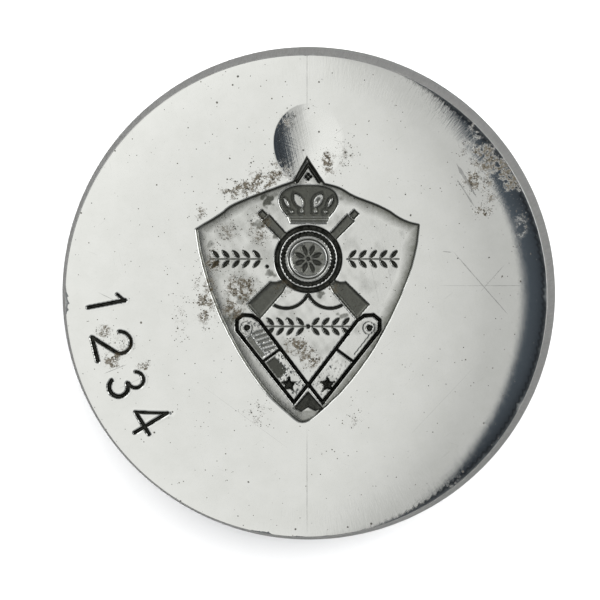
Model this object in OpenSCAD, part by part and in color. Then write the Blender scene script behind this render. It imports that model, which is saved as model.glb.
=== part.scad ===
// Striking die for a shield badge: an engraved, hardened die disc doweled and screwed
// to a plain backing block. Millimetres, +Z up, underside of the block on z = 0.

/* [Die disc] */
// Diameter of the polished face at its outer edge
face_d = 63.5; // [50:0.5:90]
// Diameter of the tapered die at its foot
foot_d = 67; // [52:0.5:96]
// Height of the die disc, foot to crown of the face
die_h = 24; // [16:0.5:40]
// Fall of the gentle dome across the whole face
dome_drop = 0.25; // [0:0.05:1]
// Extra fall where the polish rolls over the edge
edge_roll = 0.55; // [0:0.05:1.5]

/* [Backing block] */
// Height of the backing block
block_h = 14; // [12:0.5:30]
// Edge chamfer of the block
block_chamfer = 0.6; // [0.2:0.1:2]
// Height of the clamp groove's centre above the underside
groove_z = 7; // [5:0.5:12]
// Depth of the clamp groove
groove_depth = 2; // [1:0.1:3.5]
// Width of the clamp groove at its mouth
groove_w = 4; // [2:0.1:6]
// Tapping diameter of the draw-bolt hole in the underside
draw_d = 8.5; // [5:0.5:12]
// Depth of the draw-bolt hole
draw_depth = 12; // [8:0.5:13]

/* [Fasteners] */
// Pitch circle of the screws and dowels
bolt_pcd = 44; // [36:1:50]
// Cap screw thread diameter
screw_d = 6; // [4:1:8]
// Cap screw head diameter
head_d = 10; // [7:0.5:13]
// Cap screw head height
head_h = 6; // [4:0.5:8]
// Hexagon socket across flats
socket_af = 5; // [3:0.5:6]
// Thread length inside the die
thread_len = 12; // [8:1:16]
// Dowel diameter
dowel_d = 6; // [4:1:8]
// Dowel length
dowel_len = 20; // [12:1:26]

/* [Engraving] */
// Depth of the shield's field below the face
field_depth = 1.0; // [0.5:0.1:2]
// Depth of the motifs below the field
motif_depth = 0.6; // [0.2:0.1:1.5]
// Depth of the small ornament rows below the field
row_depth = 0.3; // [0.1:0.1:0.8]
// Height of the stock digits
digit_h = 5; // [3:0.5:8]
// Depth of the stock digits
digit_depth = 0.4; // [0.2:0.1:0.8]
// Diameter of the ground hollow above the shield
hollow_d = 9.5; // [6:0.5:12]
// Depth of the ground hollow
hollow_depth = 0.5; // [0.2:0.1:1.2]

/* [Hidden] */
top_z = block_h + die_h;
face_r = face_d / 2;
foot_r = foot_d / 2;
field_z = top_z - field_depth;
above_z = top_z + 1;
pocket_over = 0.1;
bolt_r = bolt_pcd / 2;
screw_angles = [90, 210, 330];
dowel_angles = [30, 165];
counterbore_d = head_d + 1;
counterbore_h = head_h + 0.8;
clear_d = screw_d + 0.6;
thread_gap = 0.02;
dowel_gap = 0.005;
dowel_chamfer = 0.5;
dowel_z = block_h - dowel_len / 2;
hole_extra = 1;
socket_depth = 3;
head_chamfer = 0.5;
eps = 0.01;

// Shield outline, counter-clockwise from the tip of the loop
shield_pts = [[0.1, 18.6], [-1.7, 15.2], [-5.8, 13.7], [-10.1, 12], [-11.3, 10.8],
              [-14.6, 8.9], [-14, 5], [-12.2, -0.9], [-9.3, -7], [-5.7, -12.4],
              [-2, -15.9], [-0.3, -17], [1.9, -15.3], [4.9, -12.5], [7.8, -8.9],
              [10.7, -4.1], [13.6, 2.3], [14.8, 6.9], [15, 9.5], [12.7, 10.1],
              [10.2, 11.9], [6.6, 13.1], [4.6, 14.4], [2.5, 14.9]];
// Height of the motifs' shared axis of symmetry along X, and the roundel's centre
axis_x = 0.3;
roundel_y = 4.9;
// Half of the butt, of the collar tab and of the loop, drawn right of the axis
butt_pts = [[3.2, 0.6], [6.5, -3.1], [8.3, -1], [5.3, 1.9], [3.7, 2.2]];
tab_pts = [[6.4, -3], [8.5, -2.2], [9.6, -4.5], [1.9, -14.5], [-0.1, -11.7]];
loop_pts = [[-0.2, 17.8], [-1.6, 15.4], [1.5, 15.4]];
patch_pts = [[0, -12.5], [1.8, -14.9], [0, -16.2], [-1.8, -14.9]];
tab_line = 0.5;
// Up direction of each stock digit, measured from +X; each was struck by hand
digit_up = [11, 14, 23, 31];
digit_at = 182;
digit_pitch = 12;
digit_r = 26.3;
digit_stroke = 0.55;

// Height of the face at radius r
function face_z(r) = top_z - dome_drop * pow(r / face_r, 2) - edge_roll * pow(r / face_r, 9);

module rect_bar(a, b, w) {
    d = b - a;
    translate(a) rotate(atan2(d[1], d[0])) translate([0, -w / 2]) square([norm(d), w]);
}

module arc_band(r, w, a0, a1, n = 16) {
    polygon(concat([for (i = [0:n]) (r + w / 2) * [cos(a0 + (a1 - a0) * i / n), sin(a0 + (a1 - a0) * i / n)]],
                   [for (i = [n:-1:0]) (r - w / 2) * [cos(a0 + (a1 - a0) * i / n), sin(a0 + (a1 - a0) * i / n)]]));
}

module annulus(r_out, r_in) {
    difference() {
        circle(r = r_out, $fn = 72);
        circle(r = r_in, $fn = 72);
    }
}

// A leaf-shaped lens, long way along X
module leaf(len, w, n = 5) {
    polygon(concat([for (i = [0:n]) [len * (i / n - 0.5), w / 2 * sin(180 * i / n)]],
                   [for (i = [n - 1:-1:1]) [len * (i / n - 0.5), -w / 2 * sin(180 * i / n)]]));
}

module star(r_out, r_in) {
    polygon([for (i = [0:9]) (i % 2 == 0 ? r_out : r_in) * [cos(90 + 36 * i), sin(90 + 36 * i)]]);
}

module both_sides() {
    translate([axis_x, 0]) children();
    translate([axis_x, 0]) mirror([1, 0]) children();
}

// Crown: arches over a band, with leaf-shaped openings left standing
module crown_2d() {
    translate([axis_x, 0]) difference() {
        polygon(concat([for (i = [0:12]) [4.2 * cos(15 * i), 12.3 + 2.4 * sin(15 * i)]],
                       [[-4.1, 11.3], [-2.6, 9.2], [2.6, 9.2], [4.1, 11.3]]));
        for (s = [-1, 1]) {
            translate([s * 1.2, 11.9]) rotate(90 + s * 18) leaf(2.6, 1);
            translate([s * 3, 11.9]) rotate(90 - s * 18) leaf(2.3, 0.6);
        }
        for (y = [9.6, 10.2]) translate([-2.4, y]) square([4.8, 0.2]);
    }
}

// Roundel: plain rim, beaded ring, inner ring and a petalled core
module roundel_2d() {
    translate([axis_x, roundel_y]) {
        annulus(4.5, 3.85);
        difference() {
            annulus(3.7, 3.05);
            for (i = [0:23]) rotate(15 * i) translate([3.4, 0]) circle(r = 0.2, $fn = 6);
        }
        difference() {
            circle(r = 2.75, $fn = 72);
            annulus(2.6, 2.45);
            for (i = [0:7]) rotate(45 * i) translate([1.2, 0]) leaf(1.5, 0.6);
        }
    }
}

// Crossed long arms behind the roundel, with a cord curl on each side
module arms_2d() {
    both_sides() difference() {
        union() {
            rect_bar([3.2, 6.6], [6.2, 10.3], 1.7);
            rect_bar([6.1, 10.1], [6.8, 11], 1.3);
            polygon(butt_pts);
            translate([2.9, 1.5]) arc_band(3.2, 0.45, 205, 300);
        }
        translate([0, roundel_y]) circle(r = 4.6, $fn = 72);
    }
}

// Two collar tabs crossing at the foot of the shield
module tabs_2d() {
    both_sides() {
        difference() {
            polygon(tab_pts);
            offset(delta = -tab_line) polygon(tab_pts);
        }
        rect_bar([4.4, -7.2], [6.6, -8.9], 0.4);
        translate([8, -4.2]) circle(r = 0.55, $fn = 16);
        translate([2.6, -11.3]) star(0.9, 0.4);
    }
    translate([axis_x, 0]) polygon(patch_pts);
    translate([axis_x, 0]) difference() {
        polygon(loop_pts);
        offset(delta = -tab_line) polygon(loop_pts);
    }
}

// A sprig of paired leaves, used where a badge would carry wording
module sprig_2d(pairs, pitch) {
    for (i = [0:pairs - 1], s = [-1, 1])
        translate([(i - (pairs - 1) / 2) * pitch, s * 0.55]) rotate(s * 40) leaf(1.3, 0.5);
}

module rows_2d() {
    translate([-9, roundel_y]) sprig_2d(5, 1.3);
    translate([8.9, roundel_y]) mirror([1, 0]) sprig_2d(5, 1.3);
    translate([axis_x - 2.4, -4]) sprig_2d(4, 1.2);
    translate([axis_x + 2.4, -4]) mirror([1, 0]) sprig_2d(4, 1.2);
    translate([axis_x, -4]) circle(r = 0.4, $fn = 16);
}

// Stock digits in a box one unit high and 0.6 wide, centred on the origin
module digit_2d(k) {
    h = digit_h;
    w = 0.6 * digit_h;
    t = digit_stroke;
    if (k == 1) {
        rect_bar([0, -h / 2], [0, h / 2], t);
        rect_bar([-w / 3, h / 2 - 1], [0.1, h / 2 - 0.2], t);
    }
    if (k == 2) {
        translate([0, h / 2 - w / 2]) arc_band(w / 2 - t / 2, t, -35, 180);
        rect_bar([w / 2 - 0.55, h / 2 - w / 2 - 0.8], [-w / 2 + 0.2, -h / 2 + 0.3], t);
        rect_bar([-w / 2, -h / 2 + t / 2], [w / 2, -h / 2 + t / 2], t);
    }
    if (k == 3) {
        translate([0, h / 4 - t / 4]) arc_band(h / 4 - t / 4, t, -90, 150);
        translate([0, -h / 4 + t / 4]) arc_band(h / 4 - t / 4, t, -150, 90);
    }
    if (k == 4) {
        rect_bar([w / 5, -h / 2], [w / 5, h / 2], t);
        rect_bar([-w / 2, -h / 5], [w / 2 + 0.2, -h / 5], t);
        rect_bar([-w / 2 + 0.1, -h / 5], [w / 5, h / 2 - 0.1], t);
    }
}

// A pocket of the given depth in the shield's field, opening into the space above it
module sunk(depth) {
    translate([0, 0, field_z - depth]) linear_extrude(depth + pocket_over) children();
}

module engraved_die() {
    steps = 16;
    color([0.72, 0.73, 0.72])
    difference() {
        rotate_extrude($fn = 144)
            polygon(concat([[0, block_h], [foot_r, block_h]],
                           [for (i = [steps:-1:0]) let (r = face_r * pow(i / steps, 0.5)) [r, face_z(r)]]));
        translate([0, 0, field_z]) linear_extrude(above_z - field_z) polygon(shield_pts);
        sunk(motif_depth) {
            crown_2d();
            arms_2d();
            tabs_2d();
        }
        sunk(motif_depth) roundel_2d();
        sunk(row_depth) rows_2d();
        for (i = [0:3]) let (a = digit_at + digit_pitch * i)
            translate([digit_r * cos(a), digit_r * sin(a), face_z(digit_r) - digit_depth])
                rotate(digit_up[i] - 90) linear_extrude(2) digit_2d(i + 1);
        let (r = (pow(hollow_d / 2, 2) + pow(hollow_depth, 2)) / (2 * hollow_depth))
            translate([0.5, 20.6, top_z - 0.1 - hollow_depth + r]) sphere(r = r, $fn = 144);
        for (a = screw_angles) rotate(a) translate([bolt_r, 0, block_h - eps])
            cylinder(d = screw_d + 2 * thread_gap, h = thread_len + hole_extra, $fn = 32);
        for (a = dowel_angles) rotate(a) translate([bolt_r, 0, block_h - eps])
            cylinder(d = dowel_d + 2 * dowel_gap, h = dowel_len / 2 + hole_extra, $fn = 32);
    }
}

module backing_block() {
    c = block_chamfer;
    color([0.42, 0.43, 0.44])
    difference() {
        rotate_extrude($fn = 144)
            polygon([[0, 0], [foot_r - c, 0], [foot_r, c], [foot_r, groove_z - groove_w / 2],
                     [foot_r - groove_depth, groove_z], [foot_r, groove_z + groove_w / 2],
                     [foot_r, block_h - c], [foot_r - c, block_h], [0, block_h]]);
        translate([0, 0, -eps]) cylinder(d = draw_d, h = draw_depth + eps, $fn = 48);
        for (a = screw_angles) rotate(a) translate([bolt_r, 0, -eps]) {
            cylinder(d = counterbore_d, h = counterbore_h + eps, $fn = 48);
            cylinder(d = clear_d, h = block_h + 1, $fn = 32);
        }
        for (a = dowel_angles) rotate(a) translate([bolt_r, 0, dowel_z - hole_extra])
            cylinder(d = dowel_d + 2 * dowel_gap, h = block_h, $fn = 32);
    }
}

module dowel_pin(a) {
    r = dowel_d / 2;
    c = dowel_chamfer;
    color([0.8, 0.8, 0.8])
    rotate(a) translate([bolt_r, 0, dowel_z]) rotate_extrude($fn = 32)
        polygon([[0, 0], [r - c, 0], [r, c], [r, dowel_len - c], [r - c, dowel_len], [0, dowel_len]]);
}

module cap_screw(a) {
    r = head_d / 2;
    c = head_chamfer;
    z0 = counterbore_h - head_h;
    color([0.15, 0.15, 0.16])
    rotate(a) translate([bolt_r, 0, z0]) difference() {
        union() {
            rotate_extrude($fn = 48)
                polygon([[0, 0], [r - c, 0], [r, c], [r, head_h], [0, head_h]]);
            cylinder(d = screw_d, h = block_h - z0 + thread_len, $fn = 32);
        }
        translate([0, 0, -eps]) cylinder(d = socket_af / cos(30), h = socket_depth + eps, $fn = 6);
    }
}

module dowel_pin_a() { dowel_pin(dowel_angles[0]); }
module dowel_pin_b() { dowel_pin(dowel_angles[1]); }
module cap_screw_a() { cap_screw(screw_angles[0]); }
module cap_screw_b() { cap_screw(screw_angles[1]); }
module cap_screw_c() { cap_screw(screw_angles[2]); }

engraved_die();
backing_block();
dowel_pin_a();
dowel_pin_b();
cap_screw_a();
cap_screw_b();
cap_screw_c();
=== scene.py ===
import math

import bmesh
import bpy
import numpy as np
from mathutils import Matrix, Vector
from mathutils.geometry import delaunay_2d_cdt


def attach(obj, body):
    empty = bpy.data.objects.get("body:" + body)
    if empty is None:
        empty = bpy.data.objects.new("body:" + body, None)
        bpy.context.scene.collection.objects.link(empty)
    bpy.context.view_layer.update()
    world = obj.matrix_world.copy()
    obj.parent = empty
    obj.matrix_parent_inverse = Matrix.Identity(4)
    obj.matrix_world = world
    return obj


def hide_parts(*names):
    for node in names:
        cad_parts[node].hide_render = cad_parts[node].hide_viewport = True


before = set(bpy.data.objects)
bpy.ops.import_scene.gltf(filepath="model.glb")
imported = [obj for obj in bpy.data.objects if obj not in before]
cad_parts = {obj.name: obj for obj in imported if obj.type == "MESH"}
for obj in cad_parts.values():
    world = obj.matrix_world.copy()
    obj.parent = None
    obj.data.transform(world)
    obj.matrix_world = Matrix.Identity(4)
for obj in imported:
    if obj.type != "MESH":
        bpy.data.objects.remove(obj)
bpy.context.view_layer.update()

# ---------------------------------------------------------------- the backing block
# A plain disc of turned steel that carries the die: chamfered edges, a V groove that the holder's
# clamps bite into, three counterbored screw holes and a tapped draw hole in the ground underside.
MM = 0.001
BLOCK_H = 14.0
FOOT_R = 33.5
CHAMFER = 0.6
GROOVE_Z = 7.0
GROOVE_DEPTH = 2.0
DRAW_R = 4.25
DRAW_DEPTH = 12.0
BOLT_R = 22.0
SCREW_ANGLES = (90, 210, 330)
HEAD_HOLE_R = 5.5
HEAD_HOLE_DEPTH = 6.8
SHANK_HOLE_R = 3.3
DOWEL_ANGLES = (30, 165)
DOWEL_R = 3.0
DOWEL_HOLE_R = DOWEL_R + 0.005
DOWEL_HOLE_Z = 3.0
BLOCK_N = 240
HEAD_N = 48
HOLE_N = 32


def smooth(t):
    """3t^2 - 2t^3, held to 0 below t = 0 and to 1 above t = 1."""
    t = np.clip(t, 0, 1)
    return t * t * (3 - 2 * t)


def polar(angle, r=BOLT_R):
    """The point at that angle in degrees and that distance from the axis."""
    return r * math.cos(math.radians(angle)), r * math.sin(math.radians(angle))


def circle_pts(c, r, n):
    """n points round the centre c at the angles 2 pi k / n."""
    a = np.arange(n) * 2 * math.pi / n
    return np.c_[c[0] + r * np.cos(a), c[1] + r * np.sin(a)]


def quads(rows, n):
    """Faces between rings of n points each, ring i to ring i + 1, point j to point j + 1."""
    i, j = np.meshgrid(np.arange(rows - 1), np.arange(n), indexing="ij")
    k = (j + 1) % n
    return np.stack([i * n + j, i * n + k, (i + 1) * n + k, (i + 1) * n + j], -1).reshape(-1, 4)


def revolve(profile, n, centre=(0, 0)):
    """A profile of (r, z) carried round the centre: x = cx + r cos a, y = cy + r sin a, z."""
    pr = np.array(profile, float)
    a = np.arange(n) * 2 * math.pi / n
    v = np.stack([centre[0] + pr[:, :1] * np.cos(a), centre[1] + pr[:, :1] * np.sin(a),
                  np.repeat(pr[:, 1:], n, axis=1)], -1)
    return v.reshape(-1, 3), quads(len(pr), n)


def triangulate(points, loops=()):
    """Delaunay triangles of plane points, keeping the closed loops of indices as edges."""
    edges = [(int(i), int(j)) for loop in loops for i, j in zip(loop, np.roll(loop, -1))]
    out = delaunay_2d_cdt([Vector(q) for q in points.tolist()], edges, [], 0, 1e-9, False)
    if len(out[0]) != len(points):
        raise RuntimeError("the triangulation merged points")
    return np.array(out[2])


def plate(z, outer_r, n, holes):
    """A flat disc at height z: the triangles between its rim and its (x, y, radius, points) holes."""
    rings = [circle_pts((0, 0), outer_r, n)] + [circle_pts((x, y), r, m) for x, y, r, m in holes]
    pts = np.concatenate(rings)
    starts = np.cumsum([0] + [len(r) for r in rings])
    tri = triangulate(pts, [np.arange(a, b) for a, b in zip(starts, starts[1:])])
    mid = pts[tri].mean(axis=1)
    keep = np.ones(len(tri), bool)
    for x, y, r, m in holes:
        keep &= np.hypot(mid[:, 0] - x, mid[:, 1] - y) > r * math.cos(math.pi / m) * 0.999
    return np.c_[pts, np.full(len(pts), z)], tri[keep]


def well(x, y, r, z0, z1, n, tip=0.0):
    """A blind hole: the cylinder r from z0 to z1, closed by a cone whose point is tip further on."""
    v, f = revolve([(r, z0), (r, z1), (r * 0.5, z1 + tip / 2)], n, (x, y))
    v = np.r_[v, [(x, y, z1 + tip)]]
    ring = 2 * n + np.arange(n)
    return v, f, np.c_[ring, np.roll(ring, -1), np.full(n, 3 * n)]


def thread(r_out, r_in, pitch, z0, z1, n, steps=10):
    """A screw surface: r = r_in + (r_out - r_in) * ridge(z / pitch - a / 2 pi), faded at both ends."""
    zs = np.arange(z0, z1 + 1e-6, pitch / steps)
    a = np.arange(n) / n
    phase = (zs[:, None] / pitch - a[None, :]) % 1.0
    ridge = np.clip(np.abs(phase - 0.5) * 2.6 - 0.15, 0, 1)
    fade = smooth(np.minimum((zs - z0) / pitch, (zs[-1] - zs) / pitch))[:, None]
    r = r_in + (r_out - r_in) * ridge * fade
    v = np.stack([r * np.cos(2 * math.pi * a), r * np.sin(2 * math.pi * a), np.repeat(zs[:, None], n, 1)], -1)
    return v.reshape(-1, 3), quads(len(zs), n)


def build(name, parts, node, mats, attributes=None, sharp=None, mat_of=None):
    """One closed piece from parts of (vertices in mm, faces, ...), standing for the CAD node."""
    verts = np.concatenate([p[0] for p in parts])
    offset, faces = 0, []
    for part in parts:
        for f in part[1:]:
            faces += (np.asarray(f) + offset).tolist()
        offset += len(part[0])
    me = bpy.data.meshes.new(name)
    me.from_pydata((verts * MM).tolist(), [], faces)
    for key, values in (attributes or {}).items():
        full = np.zeros(len(verts), np.float32)
        full[:len(values)] = values
        me.attributes.new(key, "FLOAT", "POINT").data.foreach_set("value", full)
    bm = bmesh.new()
    bm.from_mesh(me)
    bmesh.ops.remove_doubles(bm, verts=bm.verts, dist=2e-7)
    bmesh.ops.recalc_face_normals(bm, faces=bm.faces)
    bm.to_mesh(me)
    bm.free()
    me.polygons.foreach_set("use_smooth", np.ones(len(me.polygons), bool))
    if sharp:
        me.set_sharp_from_angle(angle=math.radians(sharp))
    for m in mats:
        me.materials.append(m)
    if mat_of:
        c = np.empty(len(me.polygons) * 3)
        me.polygons.foreach_get("center", c)
        me.polygons.foreach_set("material_index", mat_of(c.reshape(-1, 3) / MM).astype(np.int32))
    me.update()
    ob = bpy.data.objects.new(name, me)
    bpy.context.collection.objects.link(ob)
    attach(ob, "root")
    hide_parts(node)
    return ob


class Nodes:
    """Short names for wiring a node tree."""

    def __init__(self, tree):
        """Keeps the tree that the nodes go in."""
        self.t = tree

    def put(self, value, socket):
        """A link if the value is a socket, else the socket's own value."""
        if isinstance(value, bpy.types.NodeSocket):
            self.t.links.new(value, socket)
        else:
            socket.default_value = value

    def add(self, kind, ins=None, **props):
        """A node of that kind with those properties, its inputs linked or set."""
        n = self.t.nodes.new(kind)
        for k, v in props.items():
            setattr(n, k, v)
        for k, v in (ins or {}).items():
            self.put(v, n.inputs[k])
        return n

    def math(self, op, a, b=0.0, clamp=False):
        """One sum of two values, held to 0..1 if clamp is on."""
        return self.add("ShaderNodeMath", {0: a, 1: b}, operation=op, use_clamp=clamp).outputs[0]

    def times(self, *values):
        """The product of two or more values."""
        out = values[0]
        for v in values[1:]:
            out = self.math("MULTIPLY", out, v)
        return out

    def most(self, *values):
        """The greatest of two or more values."""
        out = values[0]
        for v in values[1:]:
            out = self.math("MAXIMUM", out, v)
        return out

    def vec(self, op, a, b=(0, 0, 0)):
        """One vector operation, as a vector or, for a product or a length, as a value."""
        n = self.add("ShaderNodeVectorMath", {0: a, 1: b}, operation=op)
        return n.outputs["Value" if op in ("DOT_PRODUCT", "LENGTH", "DISTANCE") else "Vector"]

    def scale(self, a, s):
        """The vector a times the value s."""
        n = self.add("ShaderNodeVectorMath", {0: a}, operation="SCALE")
        self.put(s, n.inputs["Scale"])
        return n.outputs["Vector"]

    def join(self, x, y, z=0.0):
        """A vector from three values."""
        return self.add("ShaderNodeCombineXYZ", {0: x, 1: y, 2: z}).outputs[0]

    def remap(self, v, lo, hi, a=0.0, b=1.0):
        """v carried from lo..hi to a..b along 3t^2 - 2t^3, and held there outside."""
        return self.add("ShaderNodeMapRange", {"Value": v, "From Min": lo, "From Max": hi, "To Min": a,
                                               "To Max": b}, interpolation_type="SMOOTHSTEP").outputs[0]

    def noise(self, vector, scale, detail=3.0, rough=0.55):
        """Cloudy noise about 0.5, scale to the metre."""
        return self.add("ShaderNodeTexNoise", {"Vector": vector, "Scale": scale, "Detail": detail,
                                               "Roughness": rough}).outputs[0]

    def color(self, fac, a, b):
        """The colour a at 0 and b at 1."""
        n = self.t.nodes.new("ShaderNodeMix")
        n.data_type = "RGBA"
        for i, v in ((0, fac), (6, a), (7, b)):
            self.put(v, n.inputs[i])
        return n.outputs[2]

    def attr(self, name):
        """A value kept at each point of the mesh."""
        return self.add("ShaderNodeAttribute", attribute_name=name).outputs["Fac"]

    def use(self, group, **ins):
        """The outputs of a node group placed here with those inputs."""
        n = self.t.nodes.new("ShaderNodeGroup")
        n.node_tree = group
        for k, v in ins.items():
            self.put(v, n.inputs[k])
        return n.outputs


def group(name, inputs, outputs):
    """A shader node group. inputs is {name: (socket type, default)} and outputs are values."""
    g = bpy.data.node_groups.new(name, "ShaderNodeTree")
    for k, (kind, value) in inputs.items():
        g.interface.new_socket(k, in_out="INPUT", socket_type="NodeSocket" + kind).default_value = value
    for k in outputs:
        g.interface.new_socket(k, in_out="OUTPUT", socket_type="NodeSocketFloat")
    return Nodes(g), g.nodes.new("NodeGroupInput").outputs, g.nodes.new("NodeGroupOutput").inputs, g


def material(name):
    """A material with one Principled shader, and its Object coordinates."""
    m = bpy.data.materials.new(name)
    m.use_nodes = True
    m.node_tree.nodes.clear()
    n = Nodes(m.node_tree)
    bsdf = n.add("ShaderNodeBsdfPrincipled")
    n.put(bsdf.outputs[0], n.add("ShaderNodeOutputMaterial").inputs["Surface"])
    return n, bsdf, n.add("ShaderNodeTexCoord").outputs["Object"], m


# Tool marks: Ring is fine lines round the axis, as turning leaves them, and Streak is lines across
# them, as a hand held stone leaves them.
n, gi, go, tool_marks = group("Tool marks", {"P": ("Vector", (0, 0, 0)), "Pitch": ("Float", 9000.0),
                                            "Fineness": ("Float", 260.0)}, ["Ring", "Streak"])
sep = n.add("ShaderNodeSeparateXYZ", {0: gi["P"]})
flat = n.vec("MULTIPLY", gi["P"], (1, 1, 0))
r = n.vec("LENGTH", flat)
way = n.add("ShaderNodeSeparateXYZ", {0: n.vec("NORMALIZE", flat)})
run = n.math("ADD", r, sep.outputs[2])
n.put(n.noise(n.join(n.times(run, gi["Pitch"]), way.outputs[0], way.outputs[1]), 1.0, 2.0), go["Ring"])
across = n.join(n.times(sep.outputs[2], 60.0), n.times(way.outputs[0], gi["Fineness"]),
                n.times(way.outputs[1], gi["Fineness"]))
n.put(n.noise(across, 1.0, 4.0, 0.75), go["Streak"])

# Freckles: a few clouded brown spots of old rust, which fray at their edges.
n, gi, go, freckles = group("Freckles", {"P": ("Vector", (0, 0, 0)), "Amount": ("Float", 0.5)}, ["Mask"])
cloud = n.math("ADD", n.noise(gi["P"], 420.0, 6.0, 0.75), n.times(n.noise(gi["P"], 70.0, 2.0), 0.5))
n.put(n.times(n.remap(cloud, 0.86, 1.0), gi["Amount"]), go["Mask"])


def ground_steel(name, tone, rough, rings, streaks, rusty, fineness=260.0, tint=1.0):
    """Turned or ground steel of that tone, darker in its marks and duller under its freckles."""
    n, bsdf, P, m = material(name)
    marks = n.use(tool_marks, P=P, Fineness=fineness)
    spots = n.use(freckles, P=P, Amount=rusty)["Mask"]
    dim = lambda k: (*[c * k for c in tone], 1)
    base = n.color(n.times(n.remap(marks["Streak"], 0.3, 0.75), streaks), dim(1.12), dim(0.55))
    base = n.color(n.times(n.remap(marks["Ring"], 0.35, 0.7), 0.3 * rings), base, dim(0.6))
    base = n.color(n.times(n.remap(n.noise(P, 30.0, 4.0), 0.35, 0.7), 0.25), base, dim(0.7))
    base = n.color(spots, base, (0.13, 0.09, 0.055, 1))
    n.put(base, bsdf.inputs["Base Color"])
    n.put(n.math("SUBTRACT", 1.0, n.times(spots, 0.7)), bsdf.inputs["Metallic"])
    wear = n.times(n.math("ADD", marks["Ring"], marks["Streak"]), 0.16)
    n.put(n.math("ADD", n.math("ADD", wear, rough - 0.12), n.times(spots, 0.3), clamp=True),
          bsdf.inputs["Roughness"])
    height = n.math("ADD", n.times(marks["Ring"], 0.000012 * rings),
                    n.times(marks["Streak"], 0.000008 * streaks))
    n.put(n.add("ShaderNodeBump", {"Height": height, "Distance": 1.0}).outputs[0], bsdf.inputs["Normal"])
    bsdf.inputs["Specular Tint"].default_value = (tint, tint, tint, 1)
    return m


turned_steel = ground_steel("turned plain steel", (0.40, 0.405, 0.41), 0.34, 1.0, 0.15, 0.6)
groove = [(FOOT_R, GROOVE_Z - 2.1), (FOOT_R - 0.1, GROOVE_Z - 1.95),
          (FOOT_R - GROOVE_DEPTH + 0.08, GROOVE_Z - 0.12),
          (FOOT_R - GROOVE_DEPTH, GROOVE_Z), (FOOT_R - GROOVE_DEPTH + 0.08, GROOVE_Z + 0.12),
          (FOOT_R - 0.1, GROOVE_Z + 1.95), (FOOT_R, GROOVE_Z + 2.1)]
side = [(FOOT_R - CHAMFER, 0), (FOOT_R - 0.1, CHAMFER - 0.1), (FOOT_R, CHAMFER + 0.06), *groove,
        (FOOT_R, BLOCK_H - CHAMFER - 0.06), (FOOT_R - 0.1, BLOCK_H - CHAMFER + 0.1),
        (FOOT_R - CHAMFER, BLOCK_H)]
screws = [polar(t) for t in SCREW_ANGLES]
dowels = [polar(t) for t in DOWEL_ANGLES]
mouths = [(x, y, HEAD_HOLE_R + 0.2, HEAD_N) for x, y in screws]
bottom = plate(0, FOOT_R - CHAMFER, BLOCK_N, [*mouths, (0, 0, DRAW_R + 0.65, HEAD_N)])
through = [(x, y, SHANK_HOLE_R, HOLE_N) for x, y in screws]
reamed = [(x, y, DOWEL_HOLE_R, HOLE_N) for x, y in dowels]
upper = plate(BLOCK_H, FOOT_R - CHAMFER, BLOCK_N, through + reamed)
bores = []
for x, y in screws:
    ring = np.r_[circle_pts((x, y), HEAD_HOLE_R, HEAD_N), circle_pts((x, y), SHANK_HOLE_R, HOLE_N)]
    t = triangulate(ring, [np.arange(HEAD_N), np.arange(HEAD_N, len(ring))])
    mid = ring[t].mean(axis=1)
    shelf = t[np.hypot(mid[:, 0] - x, mid[:, 1] - y) > SHANK_HOLE_R - 0.03]
    head_hole = [(HEAD_HOLE_R + 0.2, 0), (HEAD_HOLE_R, 0.2), (HEAD_HOLE_R, HEAD_HOLE_DEPTH)]
    shank_hole = [(SHANK_HOLE_R, HEAD_HOLE_DEPTH), (SHANK_HOLE_R, BLOCK_H)]
    bores += [revolve(head_hole, HEAD_N, (x, y)), revolve(shank_hole, HOLE_N, (x, y)),
              (np.c_[ring, np.full(len(ring), HEAD_HOLE_DEPTH)], shelf)]
for x, y in dowels:
    bores.append(well(x, y, DOWEL_HOLE_R, BLOCK_H, DOWEL_HOLE_Z, HOLE_N, -1.0))
draw = thread(DRAW_R + 0.65, DRAW_R, 1.5, 0.7, 11.0, HEAD_N)
lead_in = revolve([(DRAW_R + 0.65, 0), (DRAW_R, 0.7)], HEAD_N)
blind_end = well(0, 0, DRAW_R, draw[0][-1, 2], DRAW_DEPTH, HEAD_N, 0.0)
build("block", [revolve(side, BLOCK_N), bottom, upper, *bores, draw, lead_in, blind_end], "backing_block",
      [turned_steel], sharp=30)

# ---------------------------------------------------------------- dowels
# Two hardened, ground pins with small lead chamfers, pressed into the block and a sliding fit in
# the die, so that the die goes back in the same place.
dowel_steel = ground_steel("ground dowel steel", (0.62, 0.62, 0.62), 0.2, 0.6, 0.0, 0.0)
PIN_FOOT = 4.0
PIN_HEAD = 24.0
LEAD = 0.5
PIN = [(0.8, PIN_FOOT), (DOWEL_R - LEAD, PIN_FOOT), (DOWEL_R, PIN_FOOT + LEAD), (DOWEL_R, PIN_HEAD - LEAD),
       (DOWEL_R - LEAD, PIN_HEAD), (0.8, PIN_HEAD)]
for name, (x, y) in zip("ab", dowels):
    ends = [np.arange(HOLE_N)[None, ::-1], ((len(PIN) - 1) * HOLE_N + np.arange(HOLE_N))[None]]
    build(f"dowel_{name}", [(*revolve(PIN, HOLE_N, (x, y)), *ends)], f"dowel_pin_{name}", [dowel_steel],
          sharp=30)

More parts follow.
